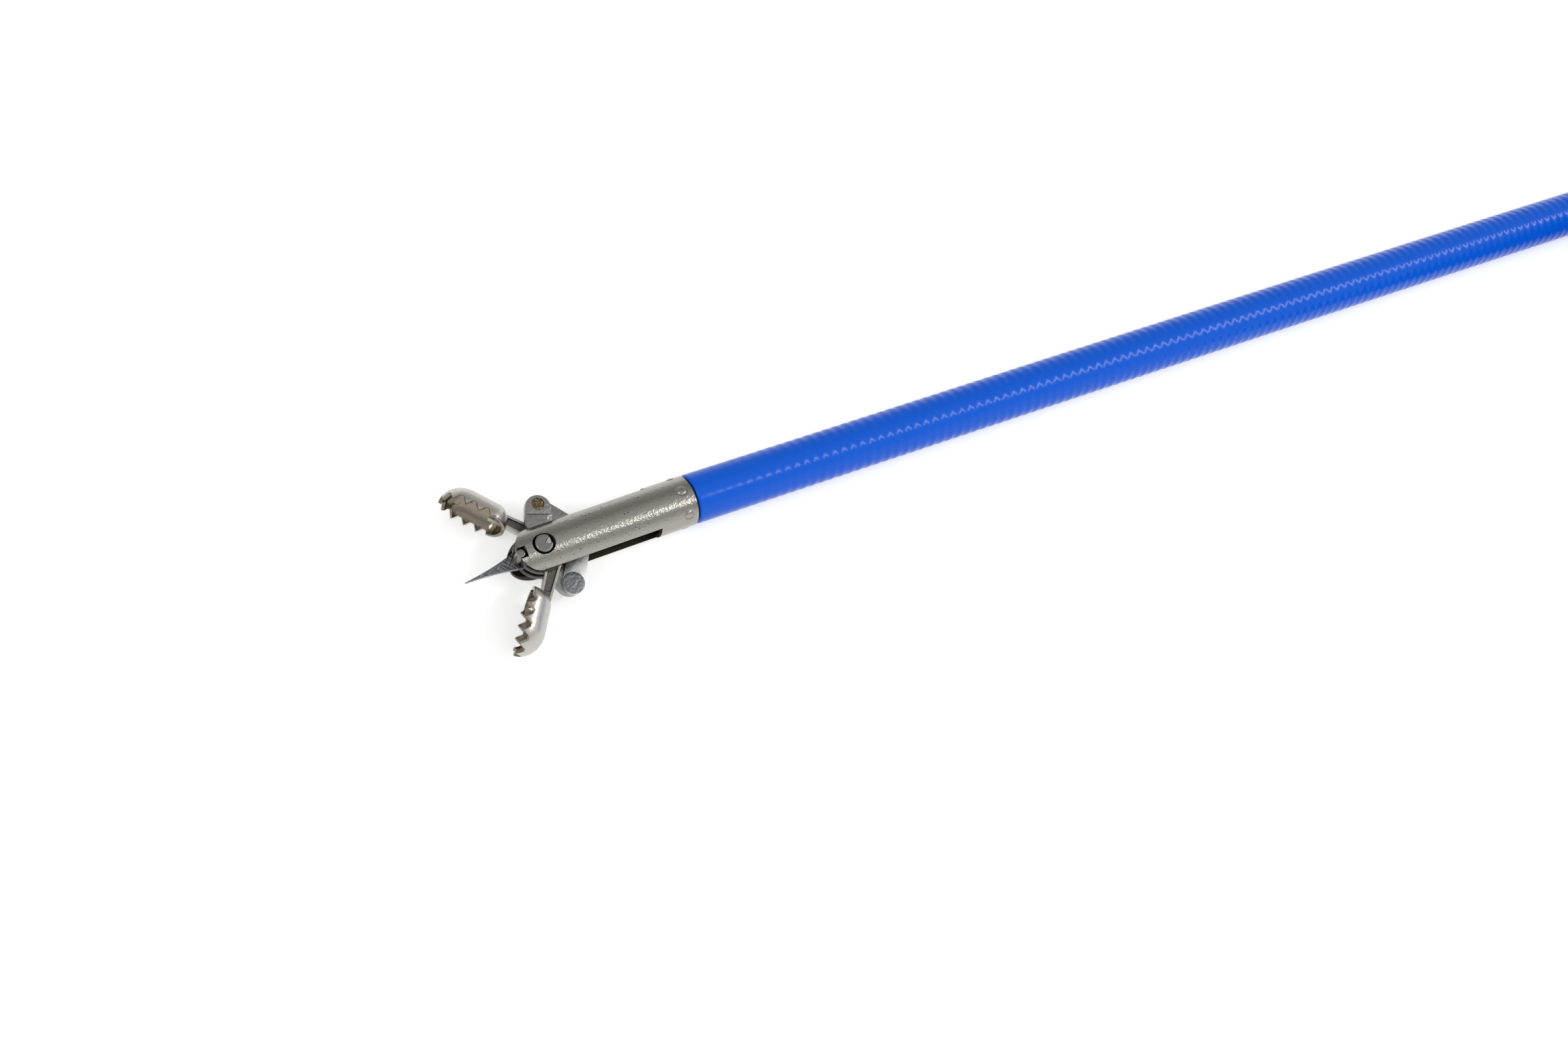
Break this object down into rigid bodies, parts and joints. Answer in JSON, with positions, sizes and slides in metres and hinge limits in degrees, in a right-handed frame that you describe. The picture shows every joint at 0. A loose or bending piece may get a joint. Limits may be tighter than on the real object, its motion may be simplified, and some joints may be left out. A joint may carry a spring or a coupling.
{
  "type": "biopsy forceps",
  "caption": "Flexible biopsy forceps: toothed cups with a spike on a slotted sleeve, closed by links and a pull wire, on a coated spring sheath with a thumb-ring handle and spool.",
  "frame": {"origin": "centre of the jaw pivot, on the sleeve's axis", "axes": "+X along the sleeve's axis from the cups to the handle, +Z along the jaw pivot pin and up, with the instrument lying on a flat surface; the cups open towards +Y and -Y"},
  "size_m": [0.2322, 0.048, 0.0265],
  "materials": {
    "sleeve_steel": "bead-blasted satin steel",
    "cup_steel": "smooth satin steel",
    "link_steel": "light matt steel",
    "spike_steel": "cross-ground steel",
    "pin_steel": "turned steel",
    "rivet_steel": "matt grey steel",
    "dark_steel": "dark turned steel",
    "sheath_jacket": "semi-gloss blue coating",
    "relief_plastic": "soft blue moulding",
    "handle_plastic": "fine satin moulding",
    "spool_plastic": "fine satin moulding",
    "clamp_brass": "turned brass"
  },
  "bodies": {
    "root": {"sleeve": "sleeve_steel", "sheath_collar": "dark_steel", "pivot_pin": "pin_steel", "spike": "spike_steel", "locating_pin": "pin_steel", "sheath_straight": "sheath_jacket", "sheath_coil": "sheath_jacket", "sheath_tail": "sheath_jacket", "strain_relief": "relief_plastic", "sheath_anchor": "dark_steel", "nose_nut": "handle_plastic", "handle_shaft": "handle_plastic", "thumb_ring": "handle_plastic", "ring_pin": "pin_steel"},
    "pull_rod": {"crosshead": "dark_steel", "crosshead_pin": "pin_steel", "pull_wire": "dark_steel"},
    "upper_jaw": {"jaw_upper": "cup_steel", "rivet_upper_jaw": "rivet_steel"},
    "lower_jaw": {"jaw_lower": "cup_steel", "rivet_lower_jaw": "rivet_steel"},
    "upper_jaw_link": {"link_upper_jaw": "link_steel"},
    "lower_jaw_link": {"link_lower_jaw": "link_steel"},
    "spool": {"spool_upper": "spool_plastic", "spool_lower": "spool_plastic", "wire_clamp": "clamp_brass", "clamp_screw": "pin_steel", "drive_tube": "dark_steel"}
  },
  "joints": [
    {"name": "spool_slide", "type": "slide", "parent": "root", "child": "spool", "axis": [0.9951, 0, -0.0991], "range_m": [0, 0.012]},
    {"name": "pull_rod_slide", "type": "slide", "parent": "root", "child": "pull_rod", "axis": [0.9986, 0.0523, 0], "range_m": [0, 0.0022]},
    {"name": "upper_jaw_hinge", "type": "hinge", "parent": "root", "child": "upper_jaw", "pos_m": [0, 0, 0], "axis": [0, 0, 1], "range_deg": [0, 52]},
    {"name": "lower_jaw_hinge", "type": "hinge", "parent": "root", "child": "lower_jaw", "pos_m": [0, 0, 0], "axis": [0, 0, 1], "range_deg": [-52, 0]},
    {"name": "upper_link_hinge", "type": "hinge", "parent": "pull_rod", "child": "upper_jaw_link", "pos_m": [0.00217, 0.00011, 0], "axis": [0, 0, 1], "range_deg": [-37.51, 0]},
    {"name": "lower_link_hinge", "type": "hinge", "parent": "pull_rod", "child": "lower_jaw_link", "pos_m": [0.00217, 0.00011, 0], "axis": [0, 0, 1], "range_deg": [0, 37.51]}
  ],
  "couplings": [
    {"joint": "pull_rod_slide", "follows": "spool_slide", "ratio": 0.18342},
    {"joint": "upper_jaw_hinge", "follows": "spool_slide", "rad_per_m": 75.63},
    {"joint": "lower_jaw_hinge", "follows": "spool_slide", "rad_per_m": -75.63},
    {"joint": "upper_link_hinge", "follows": "spool_slide", "rad_per_m": -54.548},
    {"joint": "lower_link_hinge", "follows": "spool_slide", "rad_per_m": 54.548}
  ]
}
